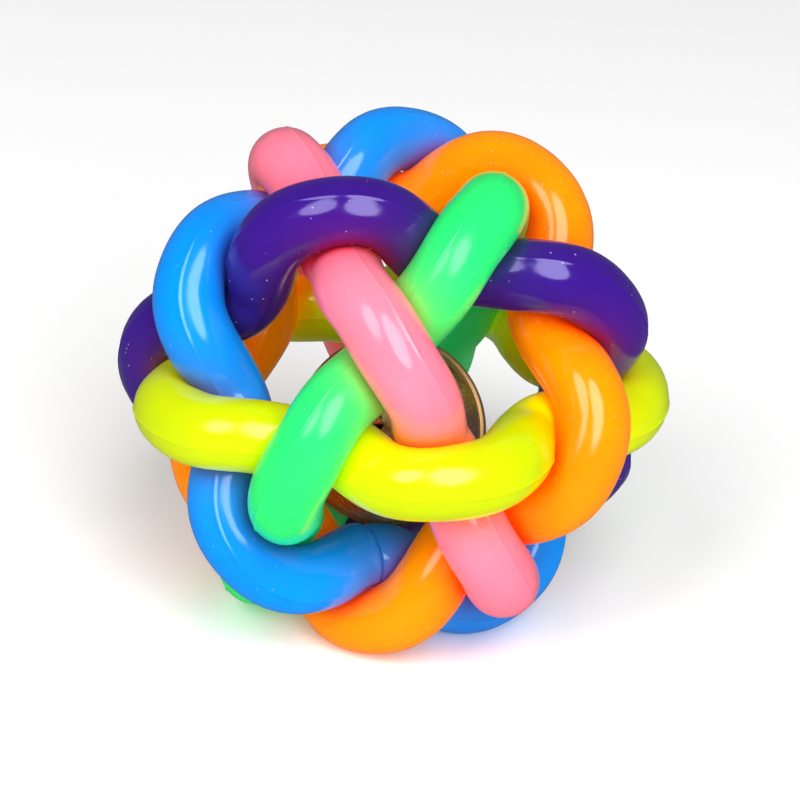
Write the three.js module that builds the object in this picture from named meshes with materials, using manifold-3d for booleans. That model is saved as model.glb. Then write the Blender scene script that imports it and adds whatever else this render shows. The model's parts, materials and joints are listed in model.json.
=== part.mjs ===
// Woven ring ball: six soft rubber strands, each closed into a wavy ring by its own peg and socket,
// plaited over and under one another round a loose pressed-brass jingle bell. Millimetres, +Z up.
// The ball stands on the five lobes round its bottom window, and the origin lies under its centre.
import * as THREE from 'three';
import { mergeVertices } from 'three/addons/utils/BufferGeometryUtils.js';
import Module from 'manifold-3d';

// Driving sizes.
const BALL_DIAMETER = 75; // over the tops of the lobes
const STRAND_RADIUS = 4.8; // a free strand, away from its crossings
const CENTRE_HEIGHT = 33.3; // of the ball's centre over the surface that it stands on
const CONTACT_GAP = 0.3; // left between pieces that touch

// The wave of each ring, as parts of its mean radius: in and out once for each of five lobes.
const RADIAL_WAVES = [0.1472, -0.0103, -0.0065];
const SIDE_WAVES = [0.0156, 0.0079, -0.0083];
const LOBES = 5;
const RADIAL_CREST = RADIAL_WAVES.reduce((sum, wave) => sum + wave, 1);
const RING_RADIUS = (BALL_DIAMETER / 2 - STRAND_RADIUS) / RADIAL_CREST;

// The rings lie in the six planes square to the long diagonals of an icosahedron.
const AXIS_TILT = Math.atan(2); // between any two of the six ring axes
const WEAVE_TURN = THREE.MathUtils.degToRad(16); // of the whole weave about +Z
const WEAVE_HAND = -1; // which strand of a crossing is outside

// The joint that closes each strand into a ring: a short straight peg in a socket.
const PEG_RADIUS = 2.4;
const PEG_LENGTH = 3.2;
const CUT_RADIUS = 6.5; // reaches past the strand's skin
const PEG_SIDES = 8;
const PEG_TURN = 0.13; // keeps the peg's edges off the lines of the strand's facets

// The bell.
const BELL_REST_DROP = 7.8; // of its centre below the ball's centre
const BELL_TURN = THREE.MathUtils.degToRad(-102); // of its loop's direction about +Z, from +X
const BELL_RISE = THREE.MathUtils.degToRad(28); // of its loop's direction over the level
const SHELL_RADIUS = 12.7;
const SHELL_WALL = 0.7;
const RIM_RADIUS = 13.25;
const RIM_HEIGHT = 0.6;
const LOOP_HOLE_RADIUS = 1.5;
const SLOT_WIDTH = 1.6;
const SLOT_REACH = THREE.MathUtils.degToRad(48); // from the pole to the round end of a slot
const SLOT_END_RADIUS = 1.8;
const PELLET_RADIUS = 3;

// The loop that the bell would hang by, bent from one wire.
const WIRE_RADIUS = 0.45;
const EYE_RADIUS = 1.4;
const EYE_HEIGHT = 14.3;
const LEG_OFFSET = 0.62;
const FOOT_REACH = 2.7;
const FOOT_HEIGHT = 10.8;
const FOOT_BEND = 0.3; // how far, along the foot, the wire has begun to turn upward
const KNEE_LIFT = 0.1; // of the wire's course at that place
const KNEE_HEIGHT = 1; // over the foot, where the leg is upright
const NECK_DROP = 0.4; // of the leg's top below the eye
const EYE_START = -120; // degrees round the eye, where the first leg meets it
const EYE_SWEEP = 300; // degrees of the eye that the wire fills

// How finely the round surfaces are divided.
const RING_STEPS = 80;
const RING_SIDES = 10;
const ROUND_STEPS = 32;
const MERIDIAN_STEPS = 7;
const BISECTIONS = 14;
const PROBES_PER_RING = 360;
const HOLE_SIDES = 12;
const EYE_STEPS = 8;
const WIRE_STEPS = 44;
const WIRE_QUARTER_SIDES = 4;
const PELLET_SIDES = 16;
const PELLET_RINGS = 12;
const COURSE_STEP = 1e-3; // radians either side, for a direction along a ring
const MERGE_DISTANCE = 1e-4;

// Finishes, as roughness and metalness.
const RUBBER = [0.25, 0];
const BRASS = [0.25, 1];
const DRAWN_METAL = [0.3, 1];
const BRASS_COLOUR = 0x9a7434;
const WIRE_COLOUR = 0xb08a45;
const STEEL_COLOUR = 0x8a8d90;

// Each strand's joint lies in the middle of one step round its ring, counted from a crest. All but the
// blue one's are hidden where another strand crosses over them.
const STRANDS = [
  { name: 'yellow_strand', colour: 0xe8f000, jointStep: 56 },
  { name: 'pink_strand', colour: 0xff96b4, jointStep: 8 },
  { name: 'purple_strand', colour: 0x3f19a2, jointStep: 40 },
  { name: 'green_strand', colour: 0x3df590, jointStep: 24 },
  { name: 'orange_strand', colour: 0xfe9a00, jointStep: 8 },
  { name: 'blue_strand', colour: 0x0aa5ff, jointStep: 55 },
];

const wasm = await Module();
wasm.setup();

// A closed three.js geometry as a solid that can be cut and joined.
function toSolid(geometry) {
  const bare = geometry.index ? geometry.clone() : geometry;
  bare.deleteAttribute('normal');
  bare.deleteAttribute('uv');
  const merged = mergeVertices(bare, MERGE_DISTANCE);
  const vertProperties = new Float32Array(merged.attributes.position.array);
  const triVerts = new Uint32Array(merged.index.array);
  return new wasm.Manifold(new wasm.Mesh({ numProp: 3, vertProperties, triVerts }));
}

function toGeometry(solid) {
  const mesh = solid.getMesh();
  const geometry = new THREE.BufferGeometry();
  geometry.setAttribute('position', new THREE.BufferAttribute(mesh.vertProperties, 3));
  geometry.setIndex(new THREE.BufferAttribute(mesh.triVerts, 1));
  return geometry;
}

function meshOf(name, geometry, colour, [roughness, metalness]) {
  const material = new THREE.MeshStandardMaterial({ color: colour, roughness, metalness });
  const mesh = new THREE.Mesh(geometry, material);
  mesh.name = name;
  return mesh;
}

// The axis of ring number index: the first stands upright and the other five lean round it.
function ringAxis(index) {
  if (index === 0) return new THREE.Vector3(0, 0, 1);
  const azimuth = WEAVE_TURN + ((index - 1) * 2 * Math.PI) / LOBES;
  const level = Math.sin(AXIS_TILT);
  return new THREE.Vector3(level * Math.cos(azimuth), level * Math.sin(azimuth), Math.cos(AXIS_TILT));
}

// The direction in which the ring round one axis passes outside the ring round another.
function outsideDirection(own, other) {
  const meeting = own.clone().cross(other).normalize();
  const ownCourse = own.clone().cross(meeting);
  const otherCourse = other.clone().cross(meeting);
  if (ownCourse.dot(otherCourse) < 0) otherCourse.negate();
  const hand = Math.sign(ownCourse.cross(otherCourse).dot(meeting));
  return hand === WEAVE_HAND ? meeting : meeting.negate();
}

// The centreline of one ring, as a function of the angle from one of its outermost points.
function ringCourse(index) {
  const axis = ringAxis(index);
  const crest = outsideDirection(axis, ringAxis((index + 1) % STRANDS.length));
  const aside = axis.clone().cross(crest);
  return (angle) => {
    let reach = 1;
    let side = 0;
    RADIAL_WAVES.forEach((wave, k) => (reach += wave * Math.cos((k + 1) * LOBES * angle)));
    SIDE_WAVES.forEach((wave, k) => (side += wave * Math.sin((k + 1) * LOBES * angle)));
    return crest
      .clone()
      .multiplyScalar(reach * Math.cos(angle))
      .addScaledVector(aside, reach * Math.sin(angle))
      .addScaledVector(axis, side)
      .multiplyScalar(RING_RADIUS);
  };
}

const COURSES = STRANDS.map((_, index) => ringCourse(index));
const PROBES = COURSES.map((course) =>
  Array.from({ length: PROBES_PER_RING }, (_, k) => course((k * 2 * Math.PI) / PROBES_PER_RING)),
);

// A point on a ring with the directions along it, away from the ball's centre and across it.
function sectionFrame(index, angle) {
  const course = COURSES[index];
  const along = course(angle + COURSE_STEP).sub(course(angle - COURSE_STEP)).normalize();
  const across = ringAxis(index);
  across.addScaledVector(along, -across.dot(along)).normalize();
  const outward = along.clone().cross(across);
  return { middle: course(angle), along, outward, across };
}

function distanceToOthers(point, index) {
  let nearest = Infinity;
  PROBES.forEach((probes, other) => {
    if (other === index) return;
    for (const probe of probes) nearest = Math.min(nearest, probe.distanceToSquared(point));
  });
  return Math.sqrt(nearest);
}

// The skin's distance from the centreline: the free radius, or less where another strand presses in.
// There the skin stops half a contact gap short of the surface midway between the two centrelines.
function skinRadius(middle, direction, index) {
  const room = (radius) => {
    const point = middle.clone().addScaledVector(direction, radius);
    return distanceToOthers(point, index) - radius - CONTACT_GAP;
  };
  if (room(STRAND_RADIUS) >= 0) return STRAND_RADIUS;
  let inside = 0;
  let outside = STRAND_RADIUS;
  for (let k = 0; k < BISECTIONS; k += 1) {
    const radius = (inside + outside) / 2;
    if (room(radius) >= 0) inside = radius;
    else outside = radius;
  }
  return inside;
}

// One whole ring of rubber, before its joint is cut.
function ringGeometry(index) {
  const positions = [];
  const faces = [];
  for (let step = 0; step < RING_STEPS; step += 1) {
    const frame = sectionFrame(index, (step * 2 * Math.PI) / RING_STEPS);
    for (let side = 0; side < RING_SIDES; side += 1) {
      const turn = (side * 2 * Math.PI) / RING_SIDES;
      const direction = frame.outward.clone().multiplyScalar(Math.cos(turn));
      direction.addScaledVector(frame.across, Math.sin(turn));
      const radius = skinRadius(frame.middle, direction, index);
      positions.push(...frame.middle.clone().addScaledVector(direction, radius).toArray());
      const here = step * RING_SIDES + side;
      const beside = step * RING_SIDES + ((side + 1) % RING_SIDES);
      const next = ((step + 1) % RING_STEPS) * RING_SIDES;
      const ahead = next + side;
      const aheadBeside = next + ((side + 1) % RING_SIDES);
      faces.push(here, aheadBeside, beside, here, ahead, aheadBeside);
    }
  }
  const geometry = new THREE.BufferGeometry();
  geometry.setAttribute('position', new THREE.Float32BufferAttribute(positions, 3));
  geometry.setIndex(faces);
  return geometry;
}

// The thin cup-shaped space between a strand's peg and its socket, round +Y, with the peg upward.
function jointGap() {
  const half = CONTACT_GAP / 2;
  const socket = PEG_RADIUS + CONTACT_GAP;
  const profile = [
    [0, -PEG_LENGTH - CONTACT_GAP],
    [socket, -PEG_LENGTH - CONTACT_GAP],
    [socket, -half],
    [CUT_RADIUS, -half],
    [CUT_RADIUS, half],
    [PEG_RADIUS, half],
    [PEG_RADIUS, -PEG_LENGTH],
    [0, -PEG_LENGTH],
  ].map(([radius, height]) => new THREE.Vector2(radius, height));
  return new THREE.LatheGeometry(profile, PEG_SIDES, PEG_TURN);
}

// A rubber strand: one rod whose far end is pushed over the peg on its near end.
function strand(index) {
  const { name, colour, jointStep } = STRANDS[index];
  const frame = sectionFrame(index, ((jointStep + 0.5) * 2 * Math.PI) / RING_STEPS);
  const gap = jointGap();
  const lathe = new THREE.Matrix4().makeBasis(frame.outward, frame.along, frame.across.clone().negate());
  gap.applyMatrix4(lathe.setPosition(frame.middle));
  const ring = toSolid(ringGeometry(index)).subtract(toSolid(gap));
  return meshOf(name, toGeometry(ring), colour, RUBBER);
}

// Points of an arc about the bell's centre, from one angle off its pole to another.
function shellArc(radius, from, to) {
  return Array.from({ length: MERIDIAN_STEPS + 1 }, (_, k) => {
    const angle = from + ((to - from) * k) / MERIDIAN_STEPS;
    return new THREE.Vector2(radius * Math.sin(angle), radius * Math.cos(angle));
  });
}

// Half of the bell's shell round +Y, from its rim up to a hole at its pole; 0 leaves no hole.
function halfShell(holeRadius) {
  const inner = SHELL_RADIUS - SHELL_WALL;
  const rimFoot = CONTACT_GAP / 2;
  const rimTop = rimFoot + RIM_HEIGHT;
  const outside = shellArc(SHELL_RADIUS, Math.acos(rimTop / SHELL_RADIUS), Math.asin(holeRadius / SHELL_RADIUS));
  const inside = shellArc(inner, Math.asin(holeRadius / inner), Math.acos(rimFoot / inner));
  const profile = [
    new THREE.Vector2(RIM_RADIUS, rimFoot),
    new THREE.Vector2(RIM_RADIUS, rimTop),
    ...outside,
    ...inside,
  ];
  profile.push(profile[0].clone());
  return new THREE.LatheGeometry(profile, ROUND_STEPS);
}

// The half that carries the loop, with its pole along +Z.
function loopHalf() {
  const solid = toSolid(halfShell(LOOP_HOLE_RADIUS).rotateX(Math.PI / 2));
  return meshOf('bell_loop_half', toGeometry(solid), BRASS_COLOUR, BRASS);
}

// The half that lets the sound out, with its pole along -Z: two crossed slots with round ends.
function slottedHalf() {
  let solid = toSolid(halfShell(0).rotateX(-Math.PI / 2));
  const middle = SHELL_RADIUS - SHELL_WALL / 2;
  const reach = middle * Math.sin(SLOT_REACH);
  const depth = middle * Math.cos(SLOT_REACH);
  for (const turn of [0, Math.PI / 2]) {
    const slot = new THREE.BoxGeometry(SLOT_WIDTH, 2 * reach, SHELL_RADIUS);
    slot.translate(0, 0, -depth - SHELL_RADIUS / 2 + SHELL_WALL);
    solid = solid.subtract(toSolid(slot.rotateZ(turn)));
    for (const side of [-1, 1]) {
      const end = new THREE.CylinderGeometry(SLOT_END_RADIUS, SLOT_END_RADIUS, 4 * SHELL_WALL, HOLE_SIDES);
      end.rotateX(-Math.PI / 2).translate(0, 0, -middle).rotateX(side * SLOT_REACH).rotateZ(turn);
      solid = solid.subtract(toSolid(end));
    }
  }
  return meshOf('bell_slotted_half', toGeometry(solid), BRASS_COLOUR, BRASS);
}

// The hanging loop: both legs of one wire go in through the hole and spread inside the shell.
function hangingLoop() {
  const neck = EYE_HEIGHT - EYE_RADIUS;
  const points = [
    [-FOOT_REACH, FOOT_HEIGHT],
    [-LEG_OFFSET - FOOT_BEND, FOOT_HEIGHT + KNEE_LIFT],
    [-LEG_OFFSET, FOOT_HEIGHT + KNEE_HEIGHT],
    [-LEG_OFFSET, neck - NECK_DROP],
  ];
  const eye = Array.from({ length: EYE_STEPS + 1 }, (_, k) => {
    const angle = THREE.MathUtils.degToRad(EYE_START - (k * EYE_SWEEP) / EYE_STEPS);
    return [EYE_RADIUS * Math.cos(angle), EYE_HEIGHT + EYE_RADIUS * Math.sin(angle)];
  });
  const back = points.map(([x, z]) => [-x, z]).reverse();
  const course = [...points, ...eye, ...back].map(([x, z]) => new THREE.Vector3(x, 0, z));
  const wire = new THREE.Shape().absarc(0, 0, WIRE_RADIUS, 0, 2 * Math.PI);
  const path = new THREE.CatmullRomCurve3(course, false, 'centripetal');
  const sweep = { steps: WIRE_STEPS, curveSegments: WIRE_QUARTER_SIDES, extrudePath: path };
  return meshOf('bell_hanging_loop', new THREE.ExtrudeGeometry(wire, sweep), WIRE_COLOUR, DRAWN_METAL);
}

// The steel ball that rattles in the bell, at rest on the bottom of the shell.
function pellet() {
  const geometry = new THREE.SphereGeometry(PELLET_RADIUS, PELLET_SIDES, PELLET_RINGS);
  const mesh = meshOf('bell_pellet', geometry, STEEL_COLOUR, DRAWN_METAL);
  const drop = SHELL_RADIUS - SHELL_WALL - CONTACT_GAP - PELLET_RADIUS;
  mesh.position.set(0, 0, CENTRE_HEIGHT - BELL_REST_DROP - drop);
  return mesh;
}

function bell() {
  const group = new THREE.Group();
  const level = Math.cos(BELL_RISE);
  const pole = new THREE.Vector3(level * Math.cos(BELL_TURN), level * Math.sin(BELL_TURN), Math.sin(BELL_RISE));
  group.quaternion.setFromUnitVectors(new THREE.Vector3(0, 0, 1), pole);
  group.position.set(0, 0, CENTRE_HEIGHT - BELL_REST_DROP);
  group.add(loopHalf(), slottedHalf(), hangingLoop());
  return group;
}

function wovenCage() {
  const group = new THREE.Group();
  STRANDS.forEach((_, index) => group.add(strand(index)));
  group.position.z = CENTRE_HEIGHT;
  return group;
}

const ball = new THREE.Group();
ball.add(wovenCage(), bell(), pellet());
export default ball;
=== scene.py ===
"""A woven ring ball: six glossy rubber strands plaited round a loose brass jingle bell."""

import json
import math

import bpy
import bmesh
import numpy as np
from bpy.props import FloatProperty, FloatVectorProperty, IntProperty, PointerProperty
from mathutils import Matrix, Vector
from mathutils.kdtree import KDTree


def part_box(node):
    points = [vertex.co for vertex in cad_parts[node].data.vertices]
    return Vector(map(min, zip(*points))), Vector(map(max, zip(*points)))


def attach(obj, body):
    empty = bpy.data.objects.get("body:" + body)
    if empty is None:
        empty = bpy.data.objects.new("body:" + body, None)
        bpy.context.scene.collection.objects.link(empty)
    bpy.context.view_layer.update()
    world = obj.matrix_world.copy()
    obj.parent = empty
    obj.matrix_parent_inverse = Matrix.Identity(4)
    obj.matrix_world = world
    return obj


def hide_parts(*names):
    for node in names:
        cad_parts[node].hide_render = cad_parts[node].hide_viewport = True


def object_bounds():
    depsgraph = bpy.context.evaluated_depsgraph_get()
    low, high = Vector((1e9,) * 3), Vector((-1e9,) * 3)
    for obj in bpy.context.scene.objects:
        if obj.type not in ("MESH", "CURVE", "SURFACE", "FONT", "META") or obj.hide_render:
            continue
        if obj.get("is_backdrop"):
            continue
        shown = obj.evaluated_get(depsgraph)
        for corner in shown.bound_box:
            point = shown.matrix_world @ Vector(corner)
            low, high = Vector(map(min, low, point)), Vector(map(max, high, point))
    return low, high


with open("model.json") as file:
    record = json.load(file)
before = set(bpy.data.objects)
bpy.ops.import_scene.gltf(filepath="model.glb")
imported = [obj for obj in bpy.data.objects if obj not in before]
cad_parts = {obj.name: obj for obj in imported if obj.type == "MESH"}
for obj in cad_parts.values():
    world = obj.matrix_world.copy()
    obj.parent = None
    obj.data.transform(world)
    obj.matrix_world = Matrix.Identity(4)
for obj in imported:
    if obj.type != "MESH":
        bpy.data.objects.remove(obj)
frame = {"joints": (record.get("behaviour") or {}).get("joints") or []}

bl_info = {
    "name": "Woven Ring Ball",
    "version": (1, 0, 0),
    "blender": (4, 5, 0),
    "location": "View3D > Sidebar > Woven Ball",
    "description": "Plaits six rubber strands into a ball round a jingle bell",
    "category": "Object",
}

MM = 0.001
CAD_BOX = [list(corner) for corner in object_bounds()]
JOINTS = {joint["name"]: joint for joint in frame["joints"]}
LEVEL_LOW, LEVEL_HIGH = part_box("yellow_strand")
BALL_CENTRE = Vector((0, 0, (LEVEL_LOW.z + LEVEL_HIGH.z) / 2))
BALL_WIDTH = round(CAD_BOX[1][0] - CAD_BOX[0][0], 3)
BELL_CENTRE = Vector(JOINTS["loop_swivel"]["pos_m"])
BELL_POLE = Vector(JOINTS["loop_swivel"]["axis"]).normalized()
PELLET_LOW, PELLET_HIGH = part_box("bell_pellet")

# The plait: six rings in the planes square to the long diagonals of an icosahedron.
LOBES = 5
RADIAL_WAVES = (0.1472, -0.0103, -0.0065)
SIDE_WAVES = (0.0156, 0.0079, -0.0083)
AXIS_TILT = math.atan(2)
WEAVE_TURN = math.radians(16)
WEAVE_HAND = -1
CONTACT_GAP = 0.3 * MM
SKIN_GAP = 0.21 * MM
COURSE_PROBES = 720

# Each strand with its place among the ring axes, the place of its joint as a part of a turn, and where
# its mould line runs, in degrees round its section from the outward side towards the ring's axis.
STRANDS = {
    "yellow": {"ring": 0, "joint": 56.5 / 80, "mould_line": -3},
    "pink": {"ring": 1, "joint": 8.5 / 80, "mould_line": 30},
    "purple": {"ring": 2, "joint": 40.5 / 80, "mould_line": -14},
    "green": {"ring": 3, "joint": 24.5 / 80, "mould_line": 17},
    "orange": {"ring": 4, "joint": 8.5 / 80, "mould_line": -35},
    "blue": {"ring": 5, "joint": 55.5 / 80, "mould_line": 48},
}

RUBBER_COLOURS = {
    "yellow": (0.53, 0.66, 0.0),
    "pink": (0.96, 0.21, 0.31),
    "purple": (0.034, 0.006, 0.22),
    "green": (0.02, 0.78, 0.17),
    "orange": (1.0, 0.27, 0.0),
    "blue": (0.0, 0.26, 0.82),
}

# What each rubber darkens to where another strand shades it.
PAINTED_SHADE_COLOURS = {
    "yellow": (0.66, 0.58, 0.0),
    "pink": (0.80, 0.02, 0.05),
    "purple": (0.018, 0.003, 0.09),
    "green": (0.0, 0.50, 0.07),
    "orange": (1.0, 0.06, 0.0),
    "blue": (0.01, 0.07, 0.40),
}

# How much of a neighbour's red, green and blue shines into each rubber.
PAINTED_NEIGHBOUR_LIGHTS = {
    "yellow": (0.40, 0.35, 0.0),
    "pink": (0.10, 0.28, 0.05),
    "purple": (0.22, 0.04, 0.08),
    "green": (0.25, 0.20, 0.05),
    "orange": (0.05, 0.05, 0.0),
    "blue": (0.14, 0.06, 0.08),
}

# How rough each rubber's skin is.
GLOSSES = {"yellow": 0.15, "pink": 0.13, "purple": 0.1, "green": 0.2, "orange": 0.12, "blue": 0.1}

# How much dust shows on each rubber.
PLAIN_DUST = 0.15
DUSTS = {"purple": 0.6}

# How strongly each rubber gives off its own colour as a painted glow, which lifts its shaded parts.
PAINTED_GLOWS = {"yellow": 0.6, "pink": 0.6, "purple": 0.2, "green": 0.6, "orange": 0.9, "blue": 0.4}


# ---------------------------------------------------------------- settings


class StrandSettings(bpy.types.PropertyGroup):
    ball_diameter: FloatProperty(
        name="Ball", description="Diameter over the lobes", default=BALL_WIDTH, unit="LENGTH"
    )
    strand_radius: FloatProperty(
        name="Strand", description="Radius of a free strand", default=4.8 * MM, unit="LENGTH"
    )
    bulge: FloatProperty(
        name="Bulge",
        description="How far a strand spreads sideways where it is pressed",
        default=0.03,
        subtype="FACTOR",
    )
    soft_passes: IntProperty(
        name="Pressed edge", description="Softening of the edge of a pressed place", default=4
    )
    line_height: FloatProperty(
        name="Mould line", description="Height of the mould line", default=0.17 * MM, unit="LENGTH"
    )
    line_width: FloatProperty(
        name="Mould line width", description="Half width", default=0.19 * MM, unit="LENGTH"
    )
    glow_reach: FloatProperty(
        name="Glow reach",
        description="How far a neighbour's colour shines into a strand",
        default=1.5 * MM,
        unit="LENGTH",
    )
    joint_shift: FloatProperty(
        name="Joint shift", description="Of the seam on the skin", default=0.6 * MM, unit="LENGTH"
    )
    joint_lean: FloatProperty(
        name="Joint lean", description="Of the seam, either side", default=0.5 * MM, unit="LENGTH"
    )
    steps_round: IntProperty(name="Steps", description="Sections round a ring", default=400)
    sides: IntProperty(name="Sides", description="Points round a section", default=40)
    yellow: FloatVectorProperty(
        name="Yellow", description="Rubber colour", default=RUBBER_COLOURS["yellow"], subtype="COLOR"
    )
    pink: FloatVectorProperty(
        name="Pink", description="Rubber colour", default=RUBBER_COLOURS["pink"], subtype="COLOR"
    )
    purple: FloatVectorProperty(
        name="Purple", description="Rubber colour", default=RUBBER_COLOURS["purple"], subtype="COLOR"
    )
    green: FloatVectorProperty(
        name="Green", description="Rubber colour", default=RUBBER_COLOURS["green"], subtype="COLOR"
    )
    orange: FloatVectorProperty(
        name="Orange", description="Rubber colour", default=RUBBER_COLOURS["orange"], subtype="COLOR"
    )
    blue: FloatVectorProperty(
        name="Blue", description="Rubber colour", default=RUBBER_COLOURS["blue"], subtype="COLOR"
    )


class BellSettings(bpy.types.PropertyGroup):
    shell_radius: FloatProperty(
        name="Shell", description="Outer radius of the shell", default=12.7 * MM, unit="LENGTH"
    )
    wall: FloatProperty(name="Wall", description="Thickness", default=0.7 * MM, unit="LENGTH")
    rim_radius: FloatProperty(
        name="Rim", description="Radius over the seam", default=13.25 * MM, unit="LENGTH"
    )
    rim_height: FloatProperty(
        name="Rim height", description="Of each half's rim", default=0.6 * MM, unit="LENGTH"
    )
    slot_width: FloatProperty(
        name="Slots", description="Width of the sound slots", default=1.6 * MM, unit="LENGTH"
    )
    brass: FloatVectorProperty(
        name="Brass", description="Colour of the clean metal", default=(0.80, 0.55, 0.25), subtype="COLOR"
    )
    tarnish: FloatVectorProperty(
        name="Tarnish", description="Colour of the dulled metal", default=(0.24, 0.12, 0.06), subtype="COLOR"
    )
    steel: FloatVectorProperty(
        name="Steel", description="Colour of the pellet", default=(0.46, 0.47, 0.48), subtype="COLOR"
    )


class StudioSettings(bpy.types.PropertyGroup):
    surround: FloatProperty(
        name="Surround", description="Strength of the pale surround", default=0.14
    )
    left_power: FloatProperty(
        name="Left softbox", description="Power", default=12.5, unit="POWER"
    )
    right_power: FloatProperty(
        name="Right softbox", description="Power", default=26.0, unit="POWER"
    )
    floor: FloatVectorProperty(
        name="Floor", description="Colour of the floor", default=(0.98, 0.98, 0.98), subtype="COLOR"
    )


# ---------------------------------------------------------------- the plait

# Sections either side of a joint: close together over its groove, then further and further apart.
JOINT_FINE_MM = tuple(step / 10 for step in range(1, 13))
JOINT_COARSE_MM = (1.35, 1.5, 1.7, 2.0, 2.4, 2.9)
JOINT_REACH = 8 * MM
JOINT_LEAN_TURN = math.radians(62)
HALVINGS = 11  # of the range in which a pressed skin is looked for
RIDGE_STEPS = (-2.2, -1.3, -0.7, 0, 0.7, 1.3, 2.2)  # points over a mould line, in its half widths


def ring_axis(ring):
    """The axis of a ring: the first stands upright and the other five lean round it."""
    if ring == 0:
        return np.array([0.0, 0.0, 1.0])
    azimuth = WEAVE_TURN + (ring - 1) * 2 * math.pi / LOBES
    level = math.sin(AXIS_TILT)
    return np.array([level * math.cos(azimuth), level * math.sin(azimuth), math.cos(AXIS_TILT)])


def outside_direction(own, other):
    """The direction in which one ring passes outside another."""
    meeting = np.cross(own, other)
    meeting /= np.linalg.norm(meeting)
    own_course, other_course = np.cross(own, meeting), np.cross(other, meeting)
    if own_course @ other_course < 0:
        other_course = -other_course
    hand = np.sign(np.cross(own_course, other_course) @ meeting)
    return meeting if hand == WEAVE_HAND else -meeting


def ring_course(ring, angles, sizes):
    """Points of a ring's centreline, from the ball's centre, at angles from one of its crests."""
    crest_reach = 1 + sum(RADIAL_WAVES)
    ring_radius = (sizes.ball_diameter / 2 - sizes.strand_radius) / crest_reach
    axis = ring_axis(ring)
    crest = outside_direction(axis, ring_axis((ring + 1) % len(STRANDS)))
    aside = np.cross(axis, crest)
    reach = np.ones_like(angles)
    side = np.zeros_like(angles)
    for k, (radial, sideways) in enumerate(zip(RADIAL_WAVES, SIDE_WAVES), start=1):
        reach += radial * np.cos(k * LOBES * angles)
        side += sideways * np.sin(k * LOBES * angles)
    points = np.outer(reach * np.cos(angles), crest) + np.outer(reach * np.sin(angles), aside)
    return ring_radius * (points + np.outer(side, axis))


def section_frames(ring, angles, sizes):
    """Centreline points with the directions along the ring, outward and across it."""
    step = 1e-4
    ahead = ring_course(ring, angles + step, sizes)
    along = ahead - ring_course(ring, angles - step, sizes)
    along /= np.linalg.norm(along, axis=1, keepdims=True)
    axis = ring_axis(ring)
    across = axis - along * (along @ axis)[:, None]
    across /= np.linalg.norm(across, axis=1, keepdims=True)
    return ring_course(ring, angles, sizes), along, np.cross(along, across), across


def course_tree(rings, sizes):
    """A search tree of some rings' centrelines."""
    angles = np.linspace(0, 2 * math.pi, COURSE_PROBES, endpoint=False)
    tree = KDTree(COURSE_PROBES * len(rings))
    for ring in rings:
        for point in ring_course(ring, angles, sizes):
            tree.insert(point, ring)
    tree.balance()
    return tree


def others_of(ring):
    return [k for k in range(len(STRANDS)) if k != ring]


def pressed_radius(tree, middle, direction, free):
    """How far the skin stands off the centreline where a neighbour may press on it."""

    def room(radius):
        return tree.find(middle + direction * radius)[2] - radius - SKIN_GAP

    if room(free) >= 0:
        return free
    inside, outside = 0.0, free
    for _ in range(HALVINGS):
        radius = (inside + outside) / 2
        if room(radius) >= 0:
            inside = radius
        else:
            outside = radius
    return inside


def soften(field, passes):
    """Averages a field over the ring's closed grid with its neighbours, a few times over."""
    for _ in range(passes):
        for side in (0, 1):
            field = (np.roll(field, 1, axis=side) + 2 * field + np.roll(field, -1, axis=side)) / 4
    return field


def section_angles(joint_angle, sizes):
    """Angles of a strand's sections: even steps, with finer ones at its joint."""
    fine = [sign * step * MM for step in JOINT_FINE_MM + JOINT_COARSE_MM for sign in (-1, 1)]
    reach = sizes.ball_diameter / 2 - 2 * sizes.strand_radius
    near = joint_angle + np.array(sorted(fine + [0.0])) / reach
    even = np.linspace(0, 2 * math.pi, sizes.steps_round, endpoint=False) + near[-1]
    even = even[even < near[0] + 2 * math.pi - (even[1] - even[0]) / 2]
    return np.concatenate([near[:-1], even])


def section_turns(mould_line, sizes):
    """Turns round a section, with finer ones over the two mould lines."""
    width = sizes.line_width / sizes.strand_radius
    ridge = np.array(RIDGE_STEPS) * width
    lines = np.concatenate([ridge + mould_line, ridge + mould_line + math.pi]) % (2 * math.pi)
    even = np.linspace(0, 2 * math.pi, sizes.sides, endpoint=False)
    gap = np.abs((even[:, None] - lines[None] + math.pi) % (2 * math.pi) - math.pi).min(axis=1)
    return np.sort(np.concatenate([even[gap > width * 0.8], lines]))


def hump(distance, width):
    """A smooth hump, 1 high, over distance 0."""
    return np.exp(-((distance / width) ** 2))


def joint_profile(offset):
    """The strand's radius, as a part of its free radius, at distances along it from its joint."""
    reach = np.abs(offset) / MM
    lip_edge, shank_edge = 0.055 * np.exp(-reach / 0.3), 0.02 * np.exp(-reach / 0.3)
    raised_lip = 0.036 * hump(reach - 1.2, 1.0)
    shank_waist = 0.075 * np.exp(-reach / 2.0)
    groove = 0.09 * hump(reach, 0.2)
    return np.where(offset < 0, 1 - lip_edge + raised_lip, 1 - shank_waist - shank_edge) - groove


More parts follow.
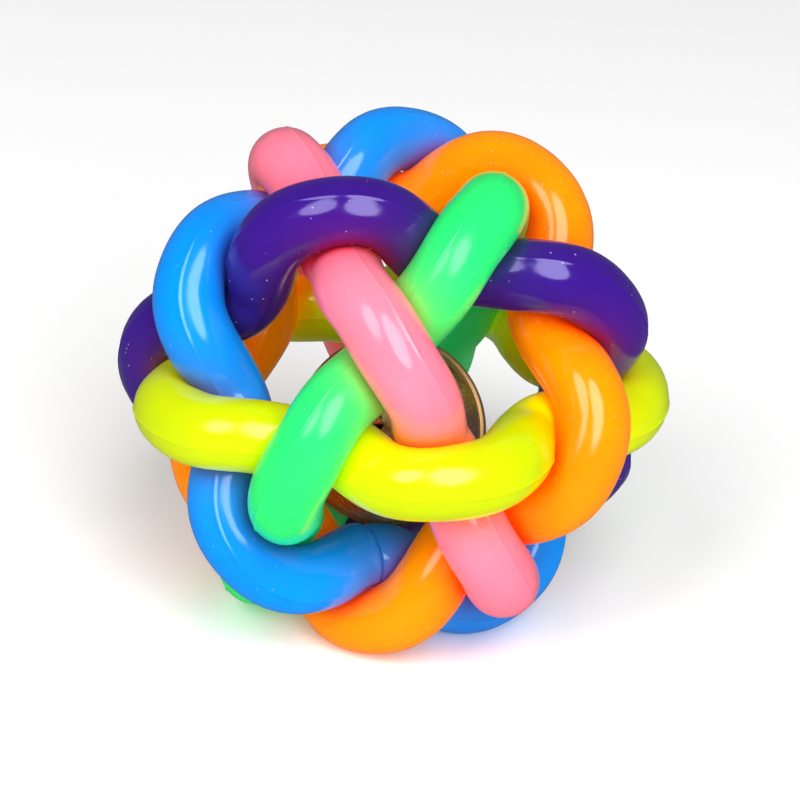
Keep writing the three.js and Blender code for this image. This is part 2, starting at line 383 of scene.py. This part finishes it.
def free_radii(ring_angles, turns, joint_angle, mould_line, frames, sizes):
    """The unpressed skin: bulges at crossings, mould lines and the joint's step."""
    phase = np.abs(((LOBES * ring_angles / math.pi + 0.5) % 1) - 0.5)
    crossing = np.exp(-((phase / 0.22) ** 2))
    radii = 1 + sizes.bulge * crossing[:, None] * (np.sin(turns) ** 2)[None]
    middle, along = frames[:2]
    k = int(np.argmin(np.abs(ring_angles - joint_angle)))
    offset = (middle - middle[k]) @ along[k]
    near = np.linalg.norm(middle - middle[k], axis=1) < JOINT_REACH
    lean = sizes.joint_shift + sizes.joint_lean * np.sin(turns - JOINT_LEAN_TURN)
    profile = joint_profile(np.clip(offset[:, None] + lean[None], -JOINT_REACH, JOINT_REACH))
    radii *= np.where(near[:, None], profile, 1)
    radii *= sizes.strand_radius
    width = sizes.line_width / sizes.strand_radius
    for line in (mould_line, mould_line + math.pi):
        away = (turns - line + math.pi) % (2 * math.pi) - math.pi
        wander = 0.75 + 0.25 * np.sin(7 * ring_angles + line)
        radii += sizes.line_height * wander[:, None] * np.exp(-((away / width) ** 2))[None]
    return radii


def grid_mesh(name, points):
    """A closed ring of sections as one smooth mesh."""
    sections, sides = points.shape[:2]
    index = np.arange(sections * sides).reshape(sections, sides)
    ahead = np.roll(index, -1, axis=0)
    faces = np.stack([index, ahead, np.roll(ahead, -1, axis=1), np.roll(index, -1, axis=1)], axis=-1)
    mesh = bpy.data.meshes.new(name)
    mesh.from_pydata(points.reshape(-1, 3).tolist(), [], faces.reshape(-1, 4).tolist())
    mesh.shade_smooth()
    return mesh


def paint_neighbours(mesh, ring, sizes):
    """Keeps, at each point, the colour of the strands close by and (as alpha) how close they are, which
    steer the painted shade and painted neighbour light.
    """
    tints = {plan["ring"]: np.array(getattr(sizes, name)) for name, plan in STRANDS.items()}
    trees = {other: course_tree([other], sizes) for other in others_of(ring)}
    paint = mesh.color_attributes.new(name="neighbours", type="FLOAT_COLOR", domain="POINT")
    values = np.zeros((len(mesh.vertices), 4))
    for k, vert in enumerate(mesh.vertices):
        place = vert.co - BALL_CENTRE
        total = np.zeros(3)
        shares = 1e-6
        for other, tree in trees.items():
            gap = max(tree.find(place)[2] - sizes.strand_radius, 0)
            close, wide = gap / sizes.glow_reach, gap / (3 * sizes.glow_reach)
            share = 0.7 * math.exp(-close * close) + 0.3 * math.exp(-wide * wide)
            total += share * tints[other]
            shares += share
        values[k] = (*(total / shares), min(shares, 1))
    paint.data.foreach_set("color", values.ravel())


def strand_mesh(colour, sizes):
    """The skin of one strand."""
    plan = STRANDS[colour]
    joint_angle = plan["joint"] * 2 * math.pi
    mould_line = math.radians(plan["mould_line"])
    angles = section_angles(joint_angle, sizes)
    turns = section_turns(mould_line, sizes)
    frames = section_frames(plan["ring"], angles, sizes)
    middle, _, outward, across = frames
    free = free_radii(angles, turns, joint_angle, mould_line, frames, sizes)
    tree = course_tree(others_of(plan["ring"]), sizes)
    directions = outward[:, None] * np.cos(turns)[None, :, None]
    directions = directions + across[:, None] * np.sin(turns)[None, :, None]
    pressed = np.empty(free.shape)
    for i, j in np.ndindex(free.shape):
        centre, direction = Vector(middle[i]), Vector(directions[i, j])
        pressed[i, j] = pressed_radius(tree, centre, direction, free[i, j])
    radii = free - soften(free - pressed, sizes.soft_passes)
    points = middle[:, None] + directions * radii[..., None] + np.array(BALL_CENTRE)
    mesh = grid_mesh(f"{colour}_strand_skin", points)
    paint_neighbours(mesh, plan["ring"], sizes)
    return mesh


# ---------------------------------------------------------------- mesh helpers


def add_piece(name, mesh, material, body, node):
    """Puts a finished mesh in the scene in place of its CAD node."""
    piece = bpy.data.objects.new(name, mesh)
    bpy.context.scene.collection.objects.link(piece)
    mesh.materials.clear()
    mesh.materials.append(material)
    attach(piece, body)
    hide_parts(node)
    return piece


def finished_mesh(name, shape):
    """Writes a worked shape into a new mesh and frees it."""
    mesh = bpy.data.meshes.new(name)
    shape.to_mesh(mesh)
    shape.free()
    return mesh


def spun_mesh(name, profile, steps):
    """A closed outline of (radius, height) points turned round the Z axis."""
    shape = bmesh.new()
    points = [shape.verts.new((radius, 0, height)) for radius, height in profile]
    edges = [shape.edges.new((a, b)) for a, b in zip(points, points[1:] + points[:1])]
    bmesh.ops.spin(
        shape,
        geom=points + edges,
        axis=(0, 0, 1),
        cent=(0, 0, 0),
        dvec=(0, 0, 0),
        angle=2 * math.pi,
        steps=steps,
        use_merge=True,
    )
    bmesh.ops.remove_doubles(shape, verts=shape.verts, dist=1e-7)
    bmesh.ops.dissolve_degenerate(shape, edges=shape.edges, dist=1e-8)
    bmesh.ops.recalc_face_normals(shape, faces=shape.faces)
    return finished_mesh(name, shape)


def polar_matrix():
    """From the bell's own axes, with its loop along +Z, to the ball's."""
    turn = Vector((0, 0, 1)).rotation_difference(BELL_POLE).to_matrix().to_4x4()
    return Matrix.Translation(BELL_CENTRE) @ turn


def arc(radius, start, end, steps):
    """Points of a meridian, by angle from the pole."""
    angles = np.linspace(start, end, steps)
    return [(radius * math.sin(a), radius * math.cos(a)) for a in angles]


# ---------------------------------------------------------------- shader groups


def new_group(name, inputs, outputs):
    """An empty shader group with named inputs (socket type, name, default) and outputs."""
    group = bpy.data.node_groups.new(name, "ShaderNodeTree")
    for kind, label, default in inputs:
        socket = group.interface.new_socket(label, in_out="INPUT", socket_type=kind)
        socket.default_value = default
    for kind, label in outputs:
        group.interface.new_socket(label, in_out="OUTPUT", socket_type=kind)
    return group, group.nodes.new("NodeGroupInput"), group.nodes.new("NodeGroupOutput")


def add_node(tree, kind, **values):
    """A node with its settings and its inputs' values; a key such as in_Scale names an input."""
    node = tree.nodes.new(kind)
    for key, value in values.items():
        if key.startswith("in_"):
            node.inputs[key[3:].replace("_", " ")].default_value = value
        else:
            setattr(node, key, value)
    return node


def math_node(tree, operation, first, second):
    """A math node; first and second are sockets or numbers."""
    node = add_node(tree, "ShaderNodeMath", operation=operation)
    for place, value in enumerate((first, second)):
        if isinstance(value, bpy.types.NodeSocket):
            tree.links.new(value, node.inputs[place])
        else:
            node.inputs[place].default_value = value
    return node.outputs[0]


def noise(tree, place, scale, detail=3.0, roughness=0.5):
    """Noise over the object, scale in features to a metre."""
    node = add_node(tree, "ShaderNodeTexNoise", in_Detail=detail, in_Roughness=roughness)
    tree.links.new(place, node.inputs["Vector"])
    if isinstance(scale, bpy.types.NodeSocket):
        tree.links.new(scale, node.inputs["Scale"])
    else:
        node.inputs["Scale"].default_value = scale
    return node.outputs["Fac"]


def remap(tree, value, low, high, to_low, to_high):
    """Maps a range to another, smoothly, and clamps it."""
    node = add_node(tree, "ShaderNodeMapRange", interpolation_type="SMOOTHSTEP")
    tree.links.new(value, node.inputs["Value"])
    for label, number in zip(("From Min", "From Max", "To Min", "To Max"), (low, high, to_low, to_high)):
        node.inputs[label].default_value = number
    return node.outputs["Result"]


def mix_colour(tree, factor, first, second):
    node = add_node(tree, "ShaderNodeMix", data_type="RGBA")
    for value, socket in ((factor, node.inputs[0]), (first, node.inputs[6]), (second, node.inputs[7])):
        if isinstance(value, bpy.types.NodeSocket):
            tree.links.new(value, socket)
        else:
            socket.default_value = value
    return node.outputs[2]


def moulded_skin_group():
    """Moulded rubber: faint cloudiness, dust specks, scuffs and a slightly uneven gloss, with painted shade
    and painted light from neighbouring strands near them, and a painted glow.
    """
    group, source, sink = new_group(
        "Moulded skin",
        [
            ("NodeSocketColor", "Colour", (0.5, 0.5, 0.5, 1)),
            ("NodeSocketFloat", "Cloudiness", 0.06),
            ("NodeSocketFloat", "Gloss", 0.12),
            ("NodeSocketFloat", "Dust", 0.3),
            ("NodeSocketColor", "Neighbours", (0, 0, 0, 1)),
            ("NodeSocketFloat", "Nearness", 0.0),
            ("NodeSocketColor", "Deep", (0.2, 0.2, 0.2, 1)),
            ("NodeSocketColor", "Bleed", (0.1, 0.1, 0.1, 1)),
            ("NodeSocketFloat", "Dye", 0.1),
        ],
        [
            ("NodeSocketColor", "Colour"),
            ("NodeSocketColor", "Glow"),
            ("NodeSocketFloat", "Roughness"),
            ("NodeSocketVector", "Normal"),
        ],
    )
    links = group.links
    place = add_node(group, "ShaderNodeTexCoord").outputs["Object"]
    # Painted shade and painted light: near other strands the colour goes to a shade colour plus the
    # neighbours' colour shining across, by how near they are.
    painted_neighbour_light = mix_colour(group, 1.0, source.outputs["Neighbours"], source.outputs["Bleed"])
    painted_neighbour_light.node.blend_type = "MULTIPLY"
    painted_shade_and_light = mix_colour(group, 1.0, source.outputs["Deep"], painted_neighbour_light)
    painted_shade_and_light.node.blend_type = "ADD"
    lit = mix_colour(group, source.outputs["Nearness"], source.outputs["Colour"], painted_shade_and_light)
    cloud = remap(group, noise(group, place, 90, 2.0), 0.3, 0.7, 0.0, 1.0)
    dark = mix_colour(group, 1.0, lit, (0.8, 0.78, 0.8, 1))
    dark.node.blend_type = "MULTIPLY"
    amount = math_node(group, "MULTIPLY", cloud, source.outputs["Cloudiness"])
    clouded = mix_colour(group, amount, lit, dark)
    # Painted glow: a share of the colour, painted shade and light included, given off as light though the
    # rubber is no lamp.
    links.new(mix_colour(group, source.outputs["Dye"], (0, 0, 0, 1), lit), sink.inputs["Glow"])
    cells = add_node(group, "ShaderNodeTexVoronoi", in_Scale=620.0, in_Randomness=1.0)
    links.new(place, cells.inputs["Vector"])
    dot = remap(group, cells.outputs["Distance"], 0.05, 0.10, 1.0, 0.0)
    sparse = remap(group, noise(group, place, 260, 1.0), 0.44, 0.54, 0.0, 1.0)
    speck = math_node(group, "MULTIPLY", dot, sparse)
    dusty = math_node(group, "MULTIPLY", speck, source.outputs["Dust"])
    coloured = mix_colour(group, dusty, clouded, (0.75, 0.72, 0.85, 1))
    links.new(coloured, sink.inputs["Colour"])
    scuff = remap(group, noise(group, place, 600, 4.0, 0.65), 0.55, 0.8, 0.0, 0.14)
    soft = remap(group, noise(group, place, 60, 2.0), 0.35, 0.7, 0.0, 0.05)
    rough = math_node(group, "ADD", math_node(group, "ADD", scuff, soft), source.outputs["Gloss"])
    dust_rough = math_node(group, "MULTIPLY", dusty, 0.5)
    links.new(math_node(group, "ADD", rough, dust_rough), sink.inputs["Roughness"])
    ripple = math_node(group, "MULTIPLY", noise(group, place, 220, 2.0), 0.6)
    fine = math_node(group, "MULTIPLY", noise(group, place, 1500, 3.0), 0.05)
    dust_height = math_node(group, "MULTIPLY", speck, 0.5)
    height = math_node(group, "ADD", math_node(group, "ADD", ripple, fine), dust_height)
    bump = add_node(group, "ShaderNodeBump", in_Strength=0.25, in_Distance=0.00012)
    links.new(height, bump.inputs["Height"])
    links.new(bump.outputs["Normal"], sink.inputs["Normal"])
    return group


def worn_metal_group():
    """Pressed metal: patches of tarnish, fine speckle, small dents and uneven polish."""
    group, source, sink = new_group(
        "Worn metal",
        [
            ("NodeSocketColor", "Clean", (0.6, 0.45, 0.2, 1)),
            ("NodeSocketColor", "Dull", (0.2, 0.1, 0.04, 1)),
            ("NodeSocketFloat", "Tarnish", 0.5),
            ("NodeSocketFloat", "Polish", 0.16),
            ("NodeSocketFloat", "Grime", 0.0),
        ],
        [
            ("NodeSocketColor", "Colour"),
            ("NodeSocketFloat", "Roughness"),
            ("NodeSocketVector", "Normal"),
        ],
    )
    links = group.links
    place = add_node(group, "ShaderNodeTexCoord").outputs["Object"]
    patches = remap(group, noise(group, place, 140, 5.0, 0.6), 0.42, 0.62, 0.0, 1.0)
    speckle = remap(group, noise(group, place, 2200, 2.0, 0.7), 0.5, 0.66, 0.0, 1.0)
    worn = math_node(group, "MULTIPLY", patches, source.outputs["Tarnish"])
    brown = math_node(group, "MAXIMUM", worn, math_node(group, "MULTIPLY", source.outputs["Tarnish"], 0.6))
    bare = math_node(group, "MULTIPLY", math_node(group, "SUBTRACT", 1.0, patches), 0.9)
    rubbed = math_node(group, "SUBTRACT", brown, math_node(group, "MULTIPLY", speckle, bare))
    clamped = math_node(group, "MAXIMUM", rubbed, 0.0)
    amount = math_node(group, "MAXIMUM", clamped, source.outputs["Grime"])
    metal = mix_colour(group, amount, source.outputs["Clean"], source.outputs["Dull"])
    links.new(metal, sink.inputs["Colour"])
    dulled = math_node(group, "ADD", math_node(group, "MULTIPLY", amount, 0.2), source.outputs["Polish"])
    rough = math_node(group, "ADD", dulled, math_node(group, "MULTIPLY", source.outputs["Grime"], 0.25))
    links.new(rough, sink.inputs["Roughness"])
    dents = math_node(group, "MULTIPLY", noise(group, place, 260, 2.0), 0.8)
    grain = math_node(group, "MULTIPLY", speckle, 0.15)
    bump = add_node(group, "ShaderNodeBump", in_Strength=0.35, in_Distance=0.00015)
    links.new(math_node(group, "ADD", dents, grain), bump.inputs["Height"])
    links.new(bump.outputs["Normal"], sink.inputs["Normal"])
    return group


def shader_group(name, build):
    """A shared group, built the first time that it is asked for."""
    return bpy.data.node_groups.get(name) or build()


def finish_material(name, group, values, principled):
    """A material: one shared group feeding the colour, roughness and normal of its own shader."""
    material = bpy.data.materials.new(name)
    material.use_nodes = True
    tree = material.node_tree
    shader = tree.nodes["Principled BSDF"]
    effect = tree.nodes.new("ShaderNodeGroup")
    effect.node_tree = group
    for label, value in values.items():
        effect.inputs[label].default_value = value
    tree.links.new(effect.outputs["Colour"], shader.inputs["Base Color"])
    tree.links.new(effect.outputs["Roughness"], shader.inputs["Roughness"])
    tree.links.new(effect.outputs["Normal"], shader.inputs["Normal"])
    for label, value in principled.items():
        shader.inputs[label].default_value = value
    return material


def group_node(tree):
    """The node that holds a material's shared group."""
    return next(node for node in tree.nodes if node.type == "GROUP")


def rubber_material(colour, tint):
    """Glossy, slightly translucent thermoplastic rubber, dyed in a bright colour, with painted shade and
    painted neighbour light near other strands and a painted glow.
    """
    values = {
        "Colour": (*tint, 1),
        "Deep": (*PAINTED_SHADE_COLOURS[colour], 1),
        "Cloudiness": 0.4,
        "Gloss": GLOSSES[colour],
        "Dust": DUSTS.get(colour, PLAIN_DUST),
        "Bleed": (*PAINTED_NEIGHBOUR_LIGHTS[colour], 1),
        "Dye": PAINTED_GLOWS[colour],
    }
    pale = tuple(0.6 + 0.4 * part / max(tint) for part in tint)
    principled = {
        "IOR": 1.52,
        "Specular Tint": (*pale, 1),
        "Subsurface Weight": 0.5,
        "Subsurface Scale": 3.5 * MM,
        "Subsurface Radius": tuple(0.25 + 0.75 * part / max(tint) for part in tint),
        # Strength of the painted glow.
        "Emission Strength": 0.2,
    }
    group = shader_group("Moulded skin", moulded_skin_group)
    material = finish_material(f"{colour}_rubber", group, values, principled)
    tree = material.node_tree
    effect = group_node(tree)
    # The neighbours' colours and nearness steer the painted shade and painted neighbour light; the painted
    # glow feeds the emission.
    near = tree.nodes.new("ShaderNodeVertexColor")
    near.layer_name = "neighbours"
    tree.links.new(near.outputs["Color"], effect.inputs["Neighbours"])
    tree.links.new(near.outputs["Alpha"], effect.inputs["Nearness"])
    tree.links.new(effect.outputs["Glow"], tree.nodes["Principled BSDF"].inputs["Emission Color"])
    return material


def metal_material(name, clean, dull, tarnish, polish, metallic=1.0):
    values = {"Clean": (*clean, 1), "Dull": (*dull, 1), "Tarnish": tarnish, "Polish": polish}
    group = shader_group("Worn metal", worn_metal_group)
    material = finish_material(name, group, values, {"Metallic": metallic})
    tree = material.node_tree
    seam = tree.nodes.new("ShaderNodeAttribute")
    seam.attribute_name = "grime"
    effect = group_node(tree)
    tree.links.new(seam.outputs["Fac"], effect.inputs["Grime"])
    return material


# ---------------------------------------------------------------- operators


class BALL_OT_plait_strands(bpy.types.Operator):
    """Plait the six rubber strands into the ball"""

    bl_idname = "ball.plait_strands"
    bl_label = "Plait the Strands"

    def execute(self, context):
        sizes = context.scene.ball_strands
        for colour in STRANDS:
            tint = tuple(getattr(sizes, colour))
            material = rubber_material(colour, tint)
            mesh = strand_mesh(colour, sizes)
            node = f"{colour}_strand"
            add_piece(f"{node}_skin", mesh, material, "cage", node)
        return {"FINISHED"}


def half_profile(sizes, hole_radius):
    """The closed outline of half a shell: round its rolled rim, over the outside, back inside."""
    outer, inner = sizes.shell_radius, sizes.shell_radius - sizes.wall
    foot = CONTACT_GAP / 2
    top = foot + sizes.rim_height
    roll = sizes.rim_height / 2
    rim_middle = Vector((sizes.rim_radius - roll, foot + roll))
    turns = np.radians(np.linspace(-90, 75, 9))
    rim = [(rim_middle.x + roll * math.cos(a), rim_middle.y + roll * math.sin(a)) for a in turns]
    crown = arc(outer, math.acos((top + 0.08 * MM) / outer), math.asin(hole_radius / outer), 26)
    inside = arc(inner, math.asin(hole_radius / inner), math.acos(foot / inner), 26)
    return rim + crown + inside


def grime_seam(mesh, sizes):
    """Keeps how near each point of a half, still upright, is to the seam that gathers grime."""
    grime = mesh.attributes.new(name="grime", type="FLOAT", domain="POINT")
    reach = 2.5 * sizes.rim_height
    values = [0.9 * max(0.0, 1 - abs(vert.co.z) / reach) ** 0.5 for vert in mesh.vertices]
    grime.data.foreach_set("value", values)


def cut_solid(piece, cutters):
    """Cuts the cutters out of a piece, one after another, and removes them."""
    for cutter in cutters:
        modifier = piece.modifiers.new("cut", "BOOLEAN")
        modifier.operation = "DIFFERENCE"
        modifier.solver = "EXACT"
        modifier.object = cutter
        bpy.context.view_layer.update()
        evaluated = piece.evaluated_get(bpy.context.evaluated_depsgraph_get())
        cut = bpy.data.meshes.new_from_object(evaluated)
        piece.modifiers.clear()
        piece.data = cut
        bpy.data.objects.remove(cutter)


def loose_object(name, mesh):
    piece = bpy.data.objects.new(name, mesh)
    bpy.context.scene.collection.objects.link(piece)
    return piece


SLOT_REACH = math.radians(48)  # from the pole to the round end of a slot
SLOT_END_RADIUS = 1.8 * MM
LOOP_HOLE_RADIUS = 1.5 * MM
SHELL_STEPS = 128


def slot_cutter(sizes, turn):
    """A straight slot over the bottom pole."""
    middle = sizes.shell_radius - sizes.wall / 2
    reach, depth = middle * math.sin(SLOT_REACH), middle * math.cos(SLOT_REACH)
    top, bottom = -depth + sizes.wall, -sizes.shell_radius * 1.1
    size = (sizes.slot_width, 2 * reach, top - bottom)
    place = turn @ Matrix.Translation((0, 0, (top + bottom) / 2))
    shape = bmesh.new()
    bmesh.ops.create_cube(shape, size=1, matrix=place @ Matrix.Diagonal((*size, 1)))
    return loose_object("slot", finished_mesh("slot", shape))


def slot_end_cutter(sizes, turn, side):
    """The round hole at one end of a slot."""
    middle = sizes.shell_radius - sizes.wall / 2
    lean = Matrix.Rotation(side * SLOT_REACH, 4, "X")
    shape = bmesh.new()
    bmesh.ops.create_cone(
        shape,
        cap_ends=True,
        segments=40,
        radius1=SLOT_END_RADIUS,
        radius2=SLOT_END_RADIUS,
        depth=4 * sizes.wall,
        matrix=turn @ lean @ Matrix.Translation((0, 0, -middle)),
    )
    return loose_object("slot_end", finished_mesh("slot_end", shape))


def slot_cutters(sizes):
    """Two crossed slots over the bottom pole, each with a round hole at either end."""
    cutters = []
    for quarter in (0, math.pi / 2):
        turn = Matrix.Rotation(quarter, 4, "Z")
        cutters.append(slot_cutter(sizes, turn))
        cutters.extend(slot_end_cutter(sizes, turn, side) for side in (-1, 1))
    return cutters


class BALL_OT_press_bell(bpy.types.Operator):
    """Press the two halves of the bell"""

    bl_idname = "ball.press_bell"
    bl_label = "Press the Bell Halves"

    def execute(self, context):
        sizes = context.scene.ball_bell
        brass = metal_material("bell_brass", sizes.brass, sizes.tarnish, 0.95, 0.22, 0.85)
        upper = spun_mesh("bell_loop_half_shell", half_profile(sizes, LOOP_HOLE_RADIUS), SHELL_STEPS)
        grime_seam(upper, sizes)
        upper.transform(polar_matrix())
        lower = spun_mesh("bell_slotted_half_shell", half_profile(sizes, 0.0), SHELL_STEPS)
        lower.transform(Matrix.Rotation(math.pi, 4, "X"))
        blank = loose_object("bell_blank", lower)
        cut_solid(blank, slot_cutters(sizes))
        lower = blank.data
        bpy.data.objects.remove(blank)
        grime_seam(lower, sizes)
        lower.transform(polar_matrix())
        for mesh, node in ((upper, "bell_loop_half"), (lower, "bell_slotted_half")):
            mesh.shade_smooth()
            mesh.set_sharp_from_angle(angle=math.radians(40))
            add_piece(f"{node}_shell", mesh, brass, "bell", node)
        return {"FINISHED"}


# The hanging loop's wire, in millimetres from the bell's centre along its pole and across it.
WIRE_RADIUS = 0.45
EYE_RADIUS = 1.4
EYE_HEIGHT = 14.3
EYE_START = -120  # degrees round the eye, where the first leg meets it
EYE_SWEEP = 300
LEG_OFFSET = 0.62
WIRE_FOOT = (
    (-2.7, 10.8),
    (-1.9, 10.82),
    (-LEG_OFFSET - 0.3, 10.95),
    (-LEG_OFFSET, 11.8),
    (-LEG_OFFSET, 12.5),
)


def wire_course():
    """The bent wire's centreline, in millimetres: a foot, a leg, the eye and back again."""
    angles = np.radians(np.linspace(EYE_START, EYE_START - EYE_SWEEP, 13))
    eye = [(EYE_RADIUS * math.cos(a), EYE_HEIGHT + EYE_RADIUS * math.sin(a)) for a in angles]
    return [*WIRE_FOOT, *eye, *((-x, z) for x, z in reversed(WIRE_FOOT))]


class BALL_OT_bend_loop(bpy.types.Operator):
    """Bend the wire loop that the bell would hang by"""

    bl_idname = "ball.bend_loop"
    bl_label = "Bend the Hanging Loop"

    def execute(self, context):
        sizes = context.scene.ball_bell
        wire = metal_material("loop_wire", (0.88, 0.68, 0.34), sizes.tarnish, 0.15, 0.12)
        curve = bpy.data.curves.new("bell_hanging_loop_wire", "CURVE")
        curve.dimensions = "3D"
        curve.bevel_depth = WIRE_RADIUS * MM
        curve.bevel_resolution = 5
        curve.use_fill_caps = True
        curve.resolution_u = 6
        points = wire_course()
        spline = curve.splines.new("BEZIER")
        spline.bezier_points.add(len(points) - 1)
        for point, (x, z) in zip(spline.bezier_points, points):
            point.co = (x * MM, 0, z * MM)
            point.handle_left_type = point.handle_right_type = "AUTO"
        bent = loose_object("wire_blank", curve)
        bpy.context.view_layer.update()
        mesh = bpy.data.meshes.new_from_object(bent.evaluated_get(context.evaluated_depsgraph_get()))
        bpy.data.objects.remove(bent)
        mesh.name = "bell_hanging_loop_wire"
        mesh.transform(polar_matrix())
        mesh.shade_smooth()
        add_piece(
            "bell_hanging_loop_wire", mesh, wire, "hanging_loop", "bell_hanging_loop"
        )
        return {"FINISHED"}


class BALL_OT_turn_pellet(bpy.types.Operator):
    """Make the steel pellet inside the bell"""

    bl_idname = "ball.turn_pellet"
    bl_label = "Make the Pellet"

    def execute(self, context):
        sizes = context.scene.ball_bell
        steel = metal_material("pellet_steel", sizes.steel, (0.2, 0.19, 0.18), 0.35, 0.2)
        shape = bmesh.new()
        radius = (PELLET_HIGH.z - PELLET_LOW.z) / 2
        middle = (PELLET_LOW + PELLET_HIGH) / 2
        bmesh.ops.create_icosphere(shape, subdivisions=4, radius=radius, matrix=Matrix.Translation(middle))
        band = radius * 0.12
        for vert in shape.verts:
            off = vert.co - middle
            flat = max(0.0, 1 - abs(off.z) / band)
            vert.co = middle + off * (1 - 0.012 * flat)
        mesh = finished_mesh("bell_pellet_shot", shape)
        mesh.shade_smooth()
        add_piece("bell_pellet_shot", mesh, steel, "pellet", "bell_pellet")
        return {"FINISHED"}


# The camera: level with the front, looking down on the ball through a long lens.
VIEW_RISE = math.radians(23.96)
VIEW_ROLL = math.radians(3.61)
VIEW_DISTANCE = 0.398
VIEW_LENS = 131.7
AIM_RIGHT = 0.93 * MM
AIM_DOWN = 2.97 * MM

# The two softboxes, in degrees round the ball and over the floor, and metres from it.
LEFT_AZIMUTH = -34
RIGHT_AZIMUTH = 18
LAMP_RISE = 40
LAMP_DISTANCE = 1.5


def place_camera():
    back = Vector((0, -math.cos(VIEW_RISE), math.sin(VIEW_RISE)))
    camera = bpy.data.objects.new("camera", bpy.data.cameras.new("camera"))
    camera.data.lens = VIEW_LENS
    camera.data.clip_start = 0.01
    camera.rotation_mode = "QUATERNION"
    level = (-back).to_track_quat("-Z", "Y").to_matrix()
    turned = level @ Matrix.Rotation(VIEW_ROLL, 3, "Z")
    camera.rotation_quaternion = turned.to_quaternion()
    right, up = turned.col[0], turned.col[1]
    camera.location = BALL_CENTRE + back * VIEW_DISTANCE + right * AIM_RIGHT - up * AIM_DOWN
    bpy.context.scene.collection.objects.link(camera)
    bpy.context.scene.camera = camera


def softbox(name, azimuth, rise, distance, width, height, power):
    """An oval light that faces the ball; azimuth 0 is the front and 90 its right."""
    data = bpy.data.lights.new(name, "AREA")
    data.shape = "ELLIPSE"
    data.size = width
    data.size_y = height
    data.energy = power
    light = bpy.data.objects.new(name, data)
    turn, lift = math.radians(azimuth), math.radians(rise)
    away = Vector((math.sin(turn) * math.cos(lift), -math.cos(turn) * math.cos(lift), math.sin(lift)))
    light.location = BALL_CENTRE + away * distance
    light.rotation_mode = "QUATERNION"
    light.rotation_quaternion = away.to_track_quat("Z", "Y")
    bpy.context.scene.collection.objects.link(light)


def floor_material(colour):
    material = bpy.data.materials.new("pale_floor")
    material.use_nodes = True
    shader = material.node_tree.nodes["Principled BSDF"]
    shader.inputs["Base Color"].default_value = (*colour, 1)
    shader.inputs["Roughness"].default_value = 0.8
    shader.inputs["Specular IOR Level"].default_value = 0.2
    shader.inputs["Emission Color"].default_value = (*colour, 1)
    shader.inputs["Emission Strength"].default_value = 0.1
    return material


class BALL_OT_set_stage(bpy.types.Operator):
    """Set the pale floor, the softboxes and the camera"""

    bl_idname = "ball.set_stage"
    bl_label = "Set the Stage"

    def execute(self, context):
        studio = context.scene.ball_studio
        shape = bmesh.new()
        bmesh.ops.create_grid(shape, x_segments=1, y_segments=1, size=3)
        mesh = finished_mesh("floor", shape)
        mesh.materials.append(floor_material(studio.floor))
        floor = loose_object("floor", mesh)
        floor.location.z = min(0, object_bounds()[0][2])
        floor.visible_glossy = False
        floor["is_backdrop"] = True
        world = bpy.data.worlds.new("surround")
        context.scene.world = world
        world.use_nodes = True
        background = world.node_tree.nodes["Background"]
        background.inputs["Color"].default_value = (1, 1, 1, 1)
        background.inputs["Strength"].default_value = studio.surround
        softbox("left_softbox", LEFT_AZIMUTH, LAMP_RISE, LAMP_DISTANCE, 0.70, 0.95, studio.left_power)
        softbox("right_softbox", RIGHT_AZIMUTH, LAMP_RISE, LAMP_DISTANCE, 0.90, 1.35, studio.right_power)
        context.scene.view_settings.view_transform = "Standard"
        place_camera()
        return {"FINISHED"}


class BALL_PT_pieces(bpy.types.Panel):
    """The steps of making the ball"""

    bl_label = "Woven Ring Ball"
    bl_idname = "BALL_PT_pieces"
    bl_space_type = "VIEW_3D"
    bl_region_type = "UI"
    bl_category = "Woven Ball"

    def draw(self, context):
        for step in STEPS:
            self.layout.operator(step.bl_idname)


STEPS = (
    BALL_OT_plait_strands,
    BALL_OT_press_bell,
    BALL_OT_bend_loop,
    BALL_OT_turn_pellet,
    BALL_OT_set_stage,
)
SETTINGS = {"ball_strands": StrandSettings, "ball_bell": BellSettings, "ball_studio": StudioSettings}


def register():
    for settings in SETTINGS.values():
        bpy.utils.register_class(settings)
    for step in (*STEPS, BALL_PT_pieces):
        bpy.utils.register_class(step)
    for name, settings in SETTINGS.items():
        setattr(bpy.types.Scene, name, PointerProperty(type=settings))


def unregister():
    for name in SETTINGS:
        delattr(bpy.types.Scene, name)
    for step in (BALL_PT_pieces, *reversed(STEPS)):
        bpy.utils.unregister_class(step)
    for settings in reversed(SETTINGS.values()):
        bpy.utils.unregister_class(settings)


def main():
    register()
    bpy.ops.ball.plait_strands()
    bpy.ops.ball.press_bell()
    bpy.ops.ball.bend_loop()
    bpy.ops.ball.turn_pellet()
    bpy.ops.ball.set_stage()


if __name__ == "__main__":
    main()
